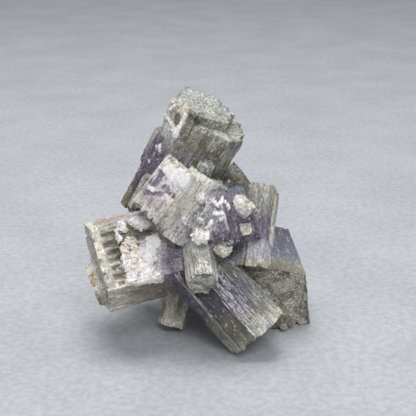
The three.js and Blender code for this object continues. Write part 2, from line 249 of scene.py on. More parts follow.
LOOKS = dict(
    tower=look("0 olive_pale 4 olive 10 grey 15 purple 30 purple_dark", "ash",
        band(2.35, 3.2, "0 cream 4 warm 9 ash 12.5 grey 14 purple 30 purple_dark 36 purple_dark",
             fine=0.8, streak=0.8),
        band(1.9, 2.35, "0 olive_pale 9 olive 16 grey 24 purple", frost=0.3),
        frost=0.4, ribs={0: 1.0, 12: 0.9, 16: 0.3}, ragged=1.1, grain=0.7),
    tower_block=look("0 olive_pale 1.2 olive 3 olive 5 umber 8 grey 10 olive_dark 13 grey 24 olive",
        "ash",
        band(1.72, 2.3, "0 olive_pale 5 olive 9 grey 14 slate"),
        band(-0.2, 0.95, "0 olive 3 grey 8 olive 14 olive_dark", frost=0.7, streak=1.3),
        ribs=0.6, ragged=1.0, grain=0.7),
    tower_shoulder=look("0 olive_pale 4 olive 12 grey 22 olive_dark", "olive_pale"),
    tower_flank=look("0 ash 6 grey 8.5 purple 12 purple_dark", "ash", ribs=0.5),
    tower_sliver=look("0 olive_pale", "olive_pale"),
    tower_corner=look("0 sand 4 olive_pale 9 olive", "sand", frost=0.6, lines=0.3),
    centre=look("0 cream 4 cream 8 warm 12 grey_pink 17 grey_pink", "cream",
        band(2.1, 3.3, "0 cream 1.6 cream 5 lilac_white 9 lilac_white 12 grey_pink 17 cream", ribs=0.25,
             streak=0.6, lines=0.5, frost=0.6),
        frost=1.3, ribs=0.5, lines=0.8, lap=1.0, ragged=0.9),
    centre_side=look("0 ivory 9 ivory 11 warm 13.5 grey_pink 19 grey_pink", "cream",
        band(0.6, 1.55, "0 olive_pale 3 warm 8 grey_pink 19 grey_pink"),
        frost=1.2, ribs=0.6, fine=1.3, lines=1.3, streak=1.2, ragged=0.9),
    left=look(
        "0 olive_pale 2 sand 4 olive_pale 8 olive 11 umber 15 cream 19 grey_pink 23 purple 32 purple_dark",
        "cream",
        band(2.0, 3.2, "0 sand 3.5 sand 6 tan 14 umber 22 olive_dark", ribs=0.25, fine=0.8, streak=1.1,
             lap=-1),
        band(1.93, 2.03, "0 cream 14 cream 20 grey_pink", ribs=0.0, fine=0.3, streak=0.2),
        band(0.0, 1.06, "0 ash 5 grey_pink 16 lilac_pale 24 lilac", ribs=0.3, streak=0.3),
        frost=0.25, ribs=0.3, streak=0.6, lap=2.4,
        grooves=dict(sides=(1.12, 1.96), reach=(2.6, 8.4), pitch=2.3)),
    left_end=look("0 sand", "cream", frost=0.4, lap=9),
    front_foot=look("0 olive_pale 7 grey 13 grey 19 ash 28 purple_dark", "olive_pale",
        band(-0.3, 0.66, "0 ash 3 olive_pale 6 olive 9 olive 13 purple_dark 20 purple_dark",
             base_sides=(-0.3, 1.0), ribs=0.25, frost=0.4, streak=0.7),
        band(0.66, 0.8, "0 olive_pale 6 olive 14 olive 20 grey 26 purple_dark", base_sides=(1.0, 1.15),
             fine=1.2, lines=0.6, frost=0.7),
        band(0.8, 1.42, "0 olive_pale 2.5 olive 4 umber 8 umber 12 purple_dark 26 purple_dark",
             base_sides=(1.15, 1.5), ribs=0.15, fine=0.5, sink=0.55, streak=0.5, frost=0.0),
        band(1.42, 2.0, "0 ash 3 olive_pale 5.5 olive 9 purple 14 purple 18 purple_dark",
             base_sides=(1.5, 2.0), fine=1.6, lines=0.9, frost=0.0, streak=1.4),
        band(2.0, 2.42, "0 cream 2.5 olive_pale 5 olive 8 grey 13 purple 19 olive", fine=0.9, frost=0.4),
        band(2.42, 3.1, "0 warm 4 olive 14 grey 20 grey", fine=1.2, lines=0.8),
        frost=0.35, ribs=0.4, streak=0.7),
    right_upright=look(
        "0 warm 2 sand 3.4 lilac_pale 6 lilac_pale 8.5 purple 13 purple 16 grey 22 olive_pale",
        "brown",
        band(-0.2, 0.95, "0 warm 1.4 lilac_pale 7 lilac 10 lilac 15 olive_pale 22 olive", frost=0.6),
        band(0.95, 1.12, "0 olive 12 grey 22 olive_pale", sink=0.4),
        frost=0.3, ribs=0.25, fine=0.7, streak=0.4, lines=0.2),
    right_blade=look("0 ash 15 olive_pale", "olive", frost=0.3),
    right_foot=look("0 olive 3 olive 5 grey 8 slate 22 purple_dark", "sand",
        band(-0.5, 6.5, frost=-0.5),
        frost=0.4, ribs=0.2, fine=0.4, streak=0.3, grain=0.5),
    nose=look("0 olive 1.5 olive_pale 5 olive 9 ash 14 slate", "tan", frost=1.9, ribs=0.5, fine=1.4,
        lines=0.9),
    middle=look("0 purple_dark 9 purple_dark 12 purple 14.5 slate", "slate",
        band(-0.3, 0.97, "0 lilac 4 slate 8 lilac 10 slate 15 slate", frost=1.7),
        band(0.93, 1.03, "0 lilac_pale", frost=1.2),
        ribs=0.3, streak=0.4, fine=0.7),
    middle_side=look("0 lilac 5 grey 9 lilac 13 grey", "grey_pink", frost=1.7, ribs=0.4, streak=0.5),
    small_foot=look("0 sand 6 olive_pale 10 olive 16 olive_dark", "olive_pale", frost=0.4),
    shoulder=look("0 olive 1.5 grey 3 umber 7 olive_dark", "olive_pale", frost=0.0),
    wedge=look("0 ash 2 grey 5 olive", "grey", frost=1.2, ragged=1.5, ribs=0.6),
    dark_crystal=look("0 grey 6 olive_dark", "grey"),
    dark_crystal_beside=look("0 grey 6 olive_dark", "grey"),
    pale_block=look("0 cream 3 ash 6 olive_pale 8 olive", "cream", frost=1.6, fine=1.6, lines=0.6),
    pale_cube=look("0 cream 4 warm", "cream", frost=0.8),
)
PLAIN_LOOK = look("0 olive_pale 4 olive 8 grey 13 purple 26 purple_dark", "olive_pale", frost=0.4)

# Where something covers the crystals: the start and end of its middle line, and its radius. A crust
# is crumbly and stands proud, chalk is a thin soft-edged skin, a strand is thin, white and
# splintered, and rust only stains.
COVERINGS = {
    "crust": [
        ((-1.5, -6.8, 43.6), (-0.5, -6.8, 42.8), 1.2),
        ((-5.8, -8, 38), (-5, -8, 37.2), 1.0),
        ((-13, 6.2, 53.4), (-12, 5.3, 52), 0.8),
        ((-16.8, -3.3, 35.4), (-16, -3.5, 35.4), 2.4),
        ((-22.3, -5, 34.6), (-22.3, -5, 34.2), 1.9),
        ((-23, -6.7, 32.4), (-22.6, -6.9, 32), 1.3),
        ((-19.6, -7.2, 30.9), (-19.2, -7.4, 30.3), 1.7),
        ((-17.6, -8.6, 28.6), (-18.4, -11, 24.6), 2.6),
        ((-21.2, -8.6, 29.8), (-20.4, -11.6, 25.4), 1.5),
        ((-19.6, -12.3, 22.8), (-12.6, -10.7, 22.8), 2.5),
        ((9.2, -6.4, 42.7), (9.6, -9.3, 41), 1.6),
        ((4.5, -6.9, 40.7), (5, -8.8, 38.6), 0.7),
        ((-0.2, -9.1, 38.7), (-0.4, -9.6, 38), 1.7),
        ((-1.5, -12.7, 34.8), (-0.8, -12.7, 34.4), 1.4),
        ((0.8, -6.7, 41.4), (3.2, -5.5, 42.4), 0.8),
    ],
    "chalk": [
        ((-6.5, -6.5, 49.8), (-5.5, -7.5, 48.4), 3.1),
        ((-9.4, -6, 50.8), (-7.5, -6.5, 48), 2.6),
        ((-14, -6.6, 46), (-13.4, -6.8, 45.4), 1.0),
        ((-15.2, 7.3, 49.2), (-15.2, 7.3, 48.8), 0.6),
        ((-13.4, -6, 31.8), (-14.6, -8.6, 28), 2.8),
        ((-15.6, -9, 27.6), (-15.6, -10.6, 24.6), 2.8),
    ],
    "rust": [
        ((-13.5, 10, 36), (-13.5, 9, 34), 4.0),
        ((-21.2, 10, 44.6), (-24, 12, 35.5), 1.9),
        ((-28.4, 0.3, 34.5), (-23.8, 2.4, 35.2), 2.6),
        ((-30.4, -6.4, 20.5), (-28.5, -7.9, 13), 1.9),
        ((-30, -5.6, 26.5), (-29.6, -6.4, 24), 0.9),
        ((-28.6, -7.8, 22), (-28.2, -8.4, 20.4), 0.8),
    ],
    "strand": [
        ((-7.6, 2.7, 57.8), (-8.2, 3.4, 59), 1.3),
        ((-8.2, 3.4, 59), (-9.6, 4.8, 61), 0.8),
        ((-9.6, 4.8, 61), (-11, 6.2, 63), 0.6),
        ((-7.6, 2.7, 58.4), (-6.4, 2.2, 61), 0.65),
        ((-6.4, 2.2, 61), (-5.2, 1.9, 63.6), 0.5),
        ((-9.6, 4.8, 64), (-8, 4.1, 65.6), 0.55),
        ((2.4, -7.6, 43.2), (3.6, -7.9, 41.8), 0.65),
        ((4.6, -6.8, 43.4), (4.1, -7.9, 41.9), 0.6),
        ((5.4, -7.2, 42.6), (6.2, -7.9, 41.2), 0.5),
        ((2.6, -8.6, 39.6), (4.2, -8.9, 39.9), 0.75),
        ((0.8, -10.5, 37), (2, -10.2, 37.9), 0.9),
        ((3.2, -9.6, 38.2), (4.6, -9.6, 38.6), 0.65),
    ],
}

# Patches of another tone under the coverings, each laid over the ones before it: tone, start, end
# and radius.
PATCHES = [
    ("olive", (-5.5, 0.8, 57), (-4.5, 0.5, 55), 1.6),
    ("olive_dark", (-3.6, 0, 63.2), (2, -0.6, 62), 1.5),
    ("ivory", (-4.6, -8, 47), (-6, -8.2, 45.6), 1.9),
    ("purple", (-11.3, -6, 50), (-13.3, -6.3, 47), 1.6),
    ("purple", (-15.6, -6.8, 45.2), (-10.8, -7.6, 44.8), 1.0),
    ("purple", (-10.2, -7.4, 46.6), (-9.4, -7.8, 45.6), 1.3),
    ("umber", (-9, -8.2, 45.2), (-8, -8.6, 44.6), 0.8),
    ("cream", (-10.3, -8.2, 35.8), (-7.6, -9.2, 41.5), 1.5),
    ("umber", (-7.7, 3.4, 60.2), (-7.3, 3.3, 62.6), 1.5),
    ("cream", (-7.6, 2.7, 58.4), (-5.2, 1.9, 63.6), 0.9),
    ("umber", (-20.5, -4.6, 33.8), (-15.2, -5.4, 32.4), 2.4),
    ("umber", (-23.4, -8, 29.8), (-20.8, -9.2, 27), 2.0),
    ("lilac_pale", (-12.4, -7.6, 29), (-11.6, -10.6, 23.6), 3.4),
    ("purple", (-8.4, -6.6, 28.5), (-9, -10, 21.6), 3.8),
    ("brown", (-20.4, 9.6, 45), (-24, 10.6, 35), 2.2),
    ("purple", (3, -4.6, 44.6), (5.4, -6.6, 42), 1.8),
    ("purple_dark", (8.1, -10.8, 35.5), (6, -12.1, 34.3), 2.0),
]

# ---------- vectors and noise


def unit(vector):
    return vector / np.linalg.norm(vector)


def columns(*values):
    """A table with a row for each point, from its columns. A plain number fills its column."""
    return np.stack(np.broadcast_arrays(*values), 1)


def hashed(*cells, seed=0):
    """A repeatable number from 0 to 1 for each whole-number cell. The large numbers only mix bits."""
    total = np.full(np.shape(cells[0]), 374761393 + seed * 668265263, np.uint64)
    for cell, prime in zip(cells, (2246822519, 3266489917, 668265263)):
        total = total ^ (np.asarray(cell, np.int64).astype(np.uint64) * np.uint64(prime))
        total = (total ^ (total >> np.uint64(15))) * np.uint64(2654435761)
        total = total & np.uint64(0xFFFFFFFF)
    total = total ^ (total >> np.uint64(13))
    total = (total * np.uint64(1274126177)) & np.uint64(0xFFFFFFFF)
    total = total ^ (total >> np.uint64(16))
    return total.astype(float) / 0xFFFFFFFF


def smooth_noise(point, seed=0):
    """Smooth noise from 0 to 1 at each row of a table of points."""
    cell = np.floor(point).astype(np.int64)
    share = point - cell
    share = share * share * (3 - 2 * share)
    value = 0.0
    for corner in itertools.product((0, 1), repeat=3):
        weight = np.prod(np.where(corner, share, 1 - share), axis=1)
        value = value + weight * hashed(*(cell + corner).T, seed=seed)
    return value


def layered_noise(point, layers=3, seed=0):
    """Several layers of smooth noise, each twice as fine and half as strong, from 0 to 1."""
    total, strength, reach = 0.0, 1.0, 0.0
    for layer in range(layers):
        total = total + strength * smooth_noise(point * 2.0 ** layer, seed + layer)
        reach += strength
        strength *= 0.5
    return total / reach


def cell_noise(point, seed=0):
    """Distance to the nearest and second nearest of scattered seeds, and the nearest's number."""
    cell = np.floor(point).astype(np.int64)
    near = np.full(len(point), 9.0)
    second = np.full(len(point), 9.0)
    label = np.zeros(len(point))
    for step in itertools.product((-1, 0, 1), repeat=3):
        around = (cell + step).T
        at = columns(*[around[k] + hashed(*around, seed=seed + k) for k in range(3)])
        distance = np.linalg.norm(at - point, axis=1)
        closer = distance < near
        second = np.where(closer, near, np.minimum(second, distance))
        label = np.where(closer, hashed(*around, seed=seed + 3), label)
        near = np.where(closer, distance, near)
    return near, second, label


def ramp(value, low, high):
    """0 below low, 1 above high, and smooth between."""
    share = np.clip((value - low) / (high - low), 0, 1)
    return share * share * (3 - 2 * share)


def falling(distance, reach):
    """1 at no distance, and soon 0 beyond the reach."""
    return np.exp(-(distance / reach) ** 2)


# ---------- one crystal's section


def in_world(crystal, flat, along):
    """Places in the world, from places in the crystal's section and lengths down from its tip.

    The section's u runs across its width, and its v towards its facing.
    """
    axis = unit(np.array(crystal.axis, float))
    v = np.array(crystal.facing, float)
    v = unit(v - v @ axis * axis)
    u = np.cross(axis, v)
    roll = math.radians(crystal.roll)
    turned = flat @ np.array([[math.cos(roll), math.sin(roll)], [-math.sin(roll), math.cos(roll)]])
    tip = np.array(crystal.tip, float)
    return tip + turned[:, :1] * u + turned[:, 1:] * v - along[:, None] * axis


def section(crystal):
    """The section's six corners, counter-clockwise in (u, v)."""
    w, d = crystal.width / 2, crystal.depth / 2
    s, k = crystal.flat * w, crystal.skew * w
    return np.array([(w, 0), (s + k, d), (-s + k, d), (-w, 0), (-s - k, -d), (s - k, -d)], float)


def perimeter(corners):
    """Points round the section: place, inward direction, length so far and distance to a corner.

    The last value is the length at which each side starts, and the whole length.
    """
    places, inwards, lengths, nearest, starts = [], [], [], [], [0.0]
    alongs = np.roll(corners, -1, axis=0) - corners
    normals = [np.array([-along[1], along[0]]) / np.linalg.norm(along) for along in alongs]
    for side, (start, along) in enumerate(zip(corners, alongs)):
        size = np.linalg.norm(along)
        count = max(3, int(round(size / SIDE_STEP)))
        for i in range(count):
            share = i / count
            to_corner = min(share, 1 - share) * size
            turn = 0.5 * max(0.0, 1 - to_corner / CORNER_TURN)
            other = normals[side - 1] if share < 0.5 else normals[(side + 1) % SIDES]
            inward = (1 - turn) * normals[side] + turn * other
            places.append(start + along * share)
            inwards.append(unit(inward))
            lengths.append(starts[-1] + share * size)
            nearest.append(to_corner)
        starts.append(starts[-1] + size)
    return [np.array(values) for values in (places, inwards, lengths, nearest, starts)]


# ---------- what lies on a crystal


def strips(around, total, along, width, length, seed):
    """Long growth strips: each point's strip height, its tilt, and the point's distance to its edge.

    Heights run from 0 to 1, and tilts from -0.25 to 0.25. around runs round the section and closes
    on itself after total, and along runs down the crystal.
    """
    count = max(3, int(round(total / width)))
    place = around / total * count

    def edge_in(cell):
        return cell + 0.75 * hashed(cell % count, seed=seed) + 0.1

    cell = np.floor(place)
    left = np.where(place < edge_in(cell), cell - 1, cell)
    left_edge, right_edge = edge_in(left), edge_in(left + 1)
    across = (place - left_edge) / (right_edge - left_edge)
    to_edge = np.minimum(place - left_edge, right_edge - place) * total / count
    strip = (left + 1) % count
    stretch = np.floor(along / length + 3 * hashed(strip, seed=seed + 1))
    height = hashed(strip, stretch, seed=seed + 2)
    tilt = (hashed(strip, stretch, seed=seed + 3) - 0.5) * (across - 0.5)
    return height, tilt, to_edge


def band_mask(part, side, length, wander):
    """1 inside a band of the section, 0 outside it, from the section's sides that it runs between."""
    total = side.starts[-1]
    share = side.along / length
    edges = []
    for at_tip, at_base in zip(part.sides, part.base_sides):
        measured = [np.interp(place % SIDES, np.arange(SIDES + 1), side.starts) + total * (place // SIDES)
                    for place in (at_tip, at_base)]
        edges.append(measured[0] * (1 - share) + measured[1] * share + wander)
    mask = np.zeros(len(side.around))
    for shift in (-total, 0.0, total):
        place = side.around + shift
        inside = ramp(place - edges[0], -0.2, 0.2) * ramp(edges[1] - side.around - shift, -0.2, 0.2)
        mask = np.maximum(mask, inside)
    return mask


def hollows(cut, side, seed):
    """1 in the even hollows that lie side by side across part of a side, and 0 on the ribs between."""
    around, along = side.around, side.along
    low, high = np.interp(cut["sides"], np.arange(SIDES + 1), side.starts)
    sway = 0.6 * (smooth_noise(columns(around / 2, along / 3, seed)) - 0.5)
    rib, share = np.divmod((around + sway - low) / cut["pitch"], 1.0)
    begin = cut["reach"][0] + 1.0 * (hashed(rib, seed=seed) - 0.5)
    finish = cut["reach"][1] + 2.5 * (hashed(rib, seed=seed + 1) - 0.5)
    hollow = ramp(share * cut["pitch"], 0.15, 0.7) * ramp((1 - share) * cut["pitch"], 0.0, 1.0)
    inside = (around > low) & (around < high)
    return inside * hollow * ramp(along, begin, begin + 0.7) * ramp(finish - along, 0.0, 0.7)


def patch_reach(points, start, end, radius):
    """1 on the line from start to end, falling to 0 at the radius and below it beyond."""
    start, end = np.array(start, float), np.array(end, float)
    along = end - start
    share = np.clip((points - start) @ along / max(along @ along, 1e-9), 0, 1)
    return 1 - np.linalg.norm(points - start - share[:, None] * along, axis=1) / radius


def coverings(points):
    """How strongly each kind of covering lies on each point, all with ragged edges."""
    ragged = 0.9 * (layered_noise(points / 1.6, 3, RAGGED_SEED) - 0.5)
    splintered = 1.6 * (layered_noise(points / 0.8, 3, SPLINTER_SEED) - 0.5)
    edges = {
        "crust": (ragged, 0.35), "chalk": (0.5 * ragged + 0.6 * splintered, 0.6),
        "rust": (ragged, 0.35), "strand": (splintered, 0.35),
    }
    masks = {}
    for kind, (edge, full) in edges.items():
        reaches = [ramp(patch_reach(points, *patch) + edge, 0.05, full) for patch in COVERINGS[kind]]
        masks[kind] = np.max(reaches, axis=0)
    return masks


def with_coverings(crystal, flat, along, deep):
    """How deep each point lies once crust, chalk and strands fill the relief and stand proud."""
    points = in_world(crystal, flat, along)
    masks = coverings(points)
    hidden = np.max([masks["crust"], masks["chalk"], masks["strand"]], axis=0)
    _, _, block = cell_noise(points / 0.9, BLOCK_SEED)
    crumb = hashed(*(np.floor(points.T / CRUMB).astype(int)), seed=CRUMB_SEED)
    crust = masks["crust"] * CRUST_RISE * (0.35 + 0.75 * block + 0.35 * crumb)
    chalk = masks["chalk"] * CHALK_RISE * (0.6 + 0.8 * layered_noise(points / 2.2, 3, CHALK_SEED))
    return deep * (1 - hidden) - np.max([crust, chalk, masks["strand"] * STRAND_RISE], axis=0)


def value_along(value, along):
    """A number at each point, which may run along the crystal from distances and numbers."""
    if isinstance(value, dict):
        return np.interp(along, list(value), list(value.values()))
    return np.full(len(along), float(value))


def tone_along(run, along):
    """The colour at each point along the crystal, from a run of distances and tones."""
    words = run.split()
    distances = [float(word) for word in words[::2]]
    colours = np.array([TONES[word] for word in words[1::2]])
    return columns(*[np.interp(along, distances, colours[:, k]) for k in range(3)])


def laid_over(tone, name, mask):
    """The colours with a named tone over them, as far as the mask says."""
    return tone * (1 - mask[:, None]) + np.array(TONES[name]) * mask[:, None]


def patched(tone, points):
    """The tone with the patches laid over it. The wider a patch, the softer its edge."""
    ragged = 1.1 * (layered_noise(points / 1.4, 3, PATCH_SEED) - 0.5)
    for name, start, end, radius in PATCHES:
        reach = patch_reach(points, start, end, radius) + ragged / max(1.0, radius / 2)
        tone = laid_over(tone, name, ramp(reach, 0.05, 0.15 + 0.15 * radius))
    return tone


# ---------- one crystal's mesh


def side_grid(crystal, seed):
    """The sides' points, row by row from the tip's rim to the base's, with the noises they share."""
    places, inwards, lengths, to_corner, starts = perimeter(section(crystal))
    rows = max(6, int(round(crystal.length / LENGTH_STEP)))
    side = SimpleNamespace(
        rows=rows, count=len(places), starts=starts, offset=seed * 17.3,
        small=min(1.0, crystal.width / FULL_WIDTH), radius=np.linalg.norm(places, axis=1).mean(),
        along=np.repeat(np.linspace(0, crystal.length, rows + 1), len(places)),
        around=np.tile(lengths, rows + 1), corner=np.tile(to_corner, rows + 1),
        place=np.tile(places, (rows + 1, 1)), inward=np.tile(inwards, (rows + 1, 1)),
    )
    along, around, total = side.along, side.around, starts[-1]
    sway = STRIP_SWAY * (smooth_noise(columns(around / 4, along / 9, side.offset)) - 0.5)
    side.coarse = strips(around + sway, total, along, COARSE_STRIP, STRIP_LENGTH, seed)
    side.fine = strips(around + sway, total, along, FINE_STRIP, STRIP_LENGTH / 2, seed + FINE_SEED)
    side.thread, _, _ = strips(around, total, along, THREAD, STRIP_LENGTH / 3, seed + THREAD_SEED)
    side.chip = layered_noise(columns(around / 2.2, along / 2.6, side.offset), 3, seed + 9)
    side.rim_chip = layered_noise(columns(around / 1.2, 0, side.offset), 3, seed + 11)
    side.from_rim = np.minimum(along, crystal.length - along)
    return side


def colour_side(crystal, style, side, seed):
    """Gives the side its traits and tone, with the bands, the even hollows and the rim's leaves."""
    along, chip = side.along, side.chip
    side.traits = {key: value_along(value, along) for key, value in style.traits.items()}
    mixed = 1.4 * (side.coarse[0] - 0.5) + 1.2 * (side.fine[0] - 0.5)
    jitter = style.traits["streak"] * mixed + 4.0 * (chip - 0.5)
    tone = tone_along(style.run, along + jitter)
    wander = 0.9 * (smooth_noise(columns(along / 4, side.offset, 0)) - 0.5)
    for part in style.bands:
        mask = band_mask(part, side, crystal.length, wander)
        for key, value in part.traits.items():
            side.traits[key] = side.traits[key] * (1 - mask) + value * mask
        if part.run:
            across = mask[:, None]
            tone = tone * (1 - across) + tone_along(part.run, along + 0.6 * jitter) * across
    side.hollow = hollows(style.grooves, side, seed) if style.grooves else along * 0
    side.leaves = ramp(side.traits["lap"] + 1.5 * (chip - 0.5) - along, 0.0, 0.3)
    row = np.repeat(np.arange(side.rows + 1), side.count)
    side.leaf = hashed(row, np.floor(side.around / LEAF_WIDTH + chip), seed=seed + 13)
    # Umber over the even hollows is painted shade in the grooves; the leaves take the end's tone.
    side.tone = laid_over(laid_over(tone, "umber", 0.5 * side.hollow), style.end, side.leaves)


def side_depth(crystal, side):
    """How deep each point of the side lies under the plain prism."""
    height, tilt, _ = side.coarse
    fine_height, fine_tilt, _ = side.fine
    traits, small = side.traits, side.small
    coarse = COARSE_DEPTH * traits["ribs"] * (height ** 1.4 + 0.7 * tilt)
    fine = FINE_DEPTH * traits["fine"] * (fine_height + 0.7 * fine_tilt)
    deep = small * ((coarse + fine) * (1 - side.leaves) + traits["sink"] + GROOVE_DEPTH * side.hollow
                    + LEAF_DEPTH * side.leaves * side.leaf)
    chipped = CORNER_CHIP_DEPTH * ramp(side.chip, 0.5, 0.75) * falling(side.corner, CORNER_CHIP)
    deep = deep + small * chipped
    broken = 0.1 + RIM_CHIP_DEPTH * ramp(side.rim_chip, 0.45, 0.8)
    deep = deep + small * broken * falling(side.from_rim, RIM_CHIP)
    return with_coverings(crystal, side.place, side.along, np.maximum(deep, 0.0))


def side_shade(side):
    """Light and dark from strip to strip, with painted light: proud strips get a painted highlight on
    their edges, low ones painted shade on theirs, and chipped corners a painted highlight.
    """
    height, _, to_edge = side.coarse
    fine_height, _, fine_edge = side.fine
    traits = side.traits
    # painted highlight along proud strips' edges, painted shade along low ones'
    edge_highlight_and_shade = falling(to_edge, 0.22) * (0.5 - height) * np.minimum(traits["ribs"], 1.0)
    edge_highlight_and_shade = edge_highlight_and_shade + 0.8 * falling(fine_edge, 0.2) * (0.5 - fine_height) * traits["fine"]
    # painted highlight on chipped corners
    corner_highlight = falling(side.corner, 0.3) * ramp(side.chip, 0.3, 0.6)
    turns = 0.10 * (0.5 - height) + 0.22 * (0.5 - fine_height) + 0.26 * (side.thread - 0.5)
    shade = 1 + traits["streak"] * turns + traits["streak"] * 0.6 * edge_highlight_and_shade
    shade = shade + 0.35 * corner_highlight + 0.5 * side.leaves * (side.leaf - 0.5)
    return np.clip(shade, 0.3, 2.0)[:, None]


def side_layer(crystal, style, side, seed):
    """The sides' places in the section, lengths down the crystal, tones and measures."""
    colour_side(crystal, style, side, seed)
    deep = side_depth(crystal, side)
    along, around = side.along, side.around
    drop = side.small * style.ragged * ramp(side.rim_chip, 0.35, 0.85)
    drop = np.where(along < crystal.length / 2, drop, -drop) * falling(side.from_rim, RIM_DROP)
    leafy = side.leaves[:, None] > 0.5
    fibre = np.where(leafy, columns(along, around), columns(around, along))
    # The fourth measure is how deep the point lies, which the material turns into painted shade.
    measures = columns(fibre[:, 0], fibre[:, 1], side.offset, np.maximum(deep, 0) / side.small, 0,
                       side.traits["frost"], side.traits["lines"])
    return side.place + side.inward * deep[:, None], along + drop, side.tone * side_shade(side), measures


def end_layer(crystal, style, side, rim_layer, seed, end):
    """An end's rings from its rim to its middle, as in side_layer. end is 0 at the tip, 1 at the base.

    After the layer come the end's middle and its length down the crystal.
    """
    first = side.rows * side.count * end
    rim, rim_along, rim_tone, _ = [values[first:first + side.count] for values in rim_layer]
    small = side.small
    centre = rim.mean(0)
    ring_count = max(3, int(round(side.radius / END_STEP)))
    shares = np.linspace(1, 0, ring_count + 1)[1:-1]
    points = np.concatenate([centre + (rim - centre) * share for share in shares])
    edge = np.repeat(1 - shares, side.count) * side.radius
    fade = ramp(edge, 0.0, 0.6)
    level = crystal.length * end
    spot = columns(points[:, 0], points[:, 1], side.offset + end * 5.5)
    grain = GRAIN * style.grain * (0.6 + 0.4 * small)
    near, second, label = cell_noise(spot / grain, seed)
    _, _, terrace = cell_noise(spot / (TERRACE * small), seed + 5)
    crack = 1 - ramp(second - near, 0.0, CRACK)
    sink = small * (
        GRAIN_DEPTH * (0.8 * label + 0.35 * crack)
        + TERRACE_DEPTH * terrace * ramp(layered_noise(spot / 3, 2, seed + 3), 0.35, 0.6)
        + 0.18 * layered_noise(spot / 0.5, 2, seed + 6)
    )
    sink = with_coverings(crystal, points, edge * 0 + level, sink)
    inside = level + (sink if end == 0 else -sink)
    alongs = np.tile(rim_along, len(shares)) * (1 - fade) + inside * fade
    blend = ramp(edge, 0.0, 0.5)[:, None]
    end_tone = np.array(TONES[style.end]) * (1.14 - 0.34 * label - 0.25 * crack)[:, None]
    tones = np.tile(rim_tone, (len(shares), 1)) * (1 - blend) + end_tone * blend
    # Some grains get a painted glint, near white in the material.
    painted_glint = 1.0 * (hashed(label * 1e6, seed=seed + 7) > 1 - GRAIN_SPARKLE)
    # The fourth measure is how deep the grain lies, which the material turns into painted shade.
    measures = columns(points[:, 0], points[:, 1] * 8, side.offset + end, np.maximum(sink, 0) / small,
                       painted_glint, style.traits["frost"], 0)
    return (points, alongs, tones, measures), centre, inside[-side.count:].mean()


def crystal_mesh(crystal, seed):
    """Points (mm), faces and attributes of one crystal, closed at both ends."""
    style = LOOKS.get(crystal.name, PLAIN_LOOK)
    side = side_grid(crystal, seed)
    layers = [side_layer(crystal, style, side, seed)]
    grid = np.arange((side.rows + 1) * side.count).reshape(side.rows + 1, side.count)
    after = np.roll(grid, -1, axis=1)
    quads = [np.stack([grid[:-1], after[:-1], after[1:], grid[1:]], -1).reshape(-1, 4)]
    used = grid.size
    middles = []
    for end, row in ((0, 0), (1, side.rows)):
        layer, centre, level = end_layer(crystal, style, side, layers[0], seed, end)
        layers.append(layer)
        rings = used + np.arange(len(layer[0])).reshape(-1, side.count)
        rings = np.vstack([grid[row], rings])
        after = np.roll(rings, -1, axis=1)
        end_quads = np.stack([rings[:-1], rings[1:], after[1:], after[:-1]], -1).reshape(-1, 4)
        quads.append(end_quads if end == 0 else end_quads[:, ::-1])
        used += len(layer[0])
        middles.append((centre, level, rings[-1], end))
    flat, alongs, tones, measures = [np.concatenate(parts) for parts in zip(*layers)]

    # a fan from each end's middle to its last ring
    triangles = []
    for centre, level, last, end in middles:
        hub = np.full(len(last), len(flat))
        fan = np.stack([last, hub, np.roll(last, -1)], 1)
        triangles.append(fan if end == 0 else fan[:, ::-1])
        flat = np.vstack([flat, centre])
        alongs = np.append(alongs, level)
        tones = np.vstack([tones, tones[last[0]]])
        measures = np.vstack([measures, measures[last[0]]])
    world = in_world(crystal, flat, alongs)
    masks = coverings(world)
    attributes = {
        "fibre": measures[:, :3], "hollow": measures[:, 3], "painted_glint": measures[:, 4],
        "frost": measures[:, 5], "lines": measures[:, 6],
        "crust": masks["crust"], "chalk": masks["chalk"], "rust": masks["rust"],
        "tone": laid_over(patched(tones, world), "white", masks["strand"]),
    }
    return with_blades((world, np.concatenate(quads), np.concatenate(triangles), attributes), seed)


# ---------- small blades on the crusts


def with_blades(mesh, seed):
    """The mesh with small flat blades standing on some of its crusty points."""
    world, quads, triangles, attributes = mesh
    chosen = hashed(np.arange(len(world)), seed=seed + BLADE_SEED) < BLADE_SHARE
    picked = np.flatnonzero((attributes["crust"] > CRUSTY) & chosen)
    if not len(picked):
        return mesh

    def chance(kind, low=-1, high=1):
        return low + (high - low) * hashed(picked, seed=seed + BLADE_SEED + 10 + kind)

    first = columns(chance(0), chance(1), chance(2))
    first /= np.linalg.norm(first, axis=1)[:, None]
    third = np.cross(first, columns(chance(3), chance(4), chance(5)))
    third /= np.linalg.norm(third, axis=1)[:, None]
    second = np.cross(third, first)
    halves = ((6, 0.25, 0.75), (7, 0.2, 0.5), (8, 0.04, 0.10))
    long, wide, thick = [chance(*half)[:, None] for half in halves]
    corners = []
    for z in (-1, 1):
        for x, y in ((-1, -1), (1, -1), (1, 1), (-1, 1)):
            corners.append(world[picked] + x * long * first + y * wide * second + z * thick * third)
    blades = np.stack(corners, 1).reshape(-1, 3)
    sides = np.array([(0, 3, 2, 1), (4, 5, 6, 7), (0, 1, 5, 4), (1, 2, 6, 5), (2, 3, 7, 6), (3, 0, 4, 7)])
    blade_quads = (len(world) + 8 * np.arange(len(picked))[:, None, None] + sides).reshape(-1, 4)
    grown = {}
    for key, values in attributes.items():
        extra = np.repeat(values[picked], 8, axis=0)
        grown[key] = np.concatenate([values, extra * 0 + 1 if key == "crust" else extra])
    return np.concatenate([world, blades]), np.concatenate([quads, blade_quads]), triangles, grown


# ---------- one lump's mesh


def ball(subdivisions):
    """Points and triangles of a ball of radius 1."""
    shape = bmesh.new()
    bmesh.ops.create_icosphere(shape, subdivisions=subdivisions, radius=1.0)
    points = np.array([vertex.co[:] for vertex in shape.verts])
    triangles = np.array([[vertex.index for vertex in face.verts] for face in shape.faces])
    shape.free()
    return points, triangles


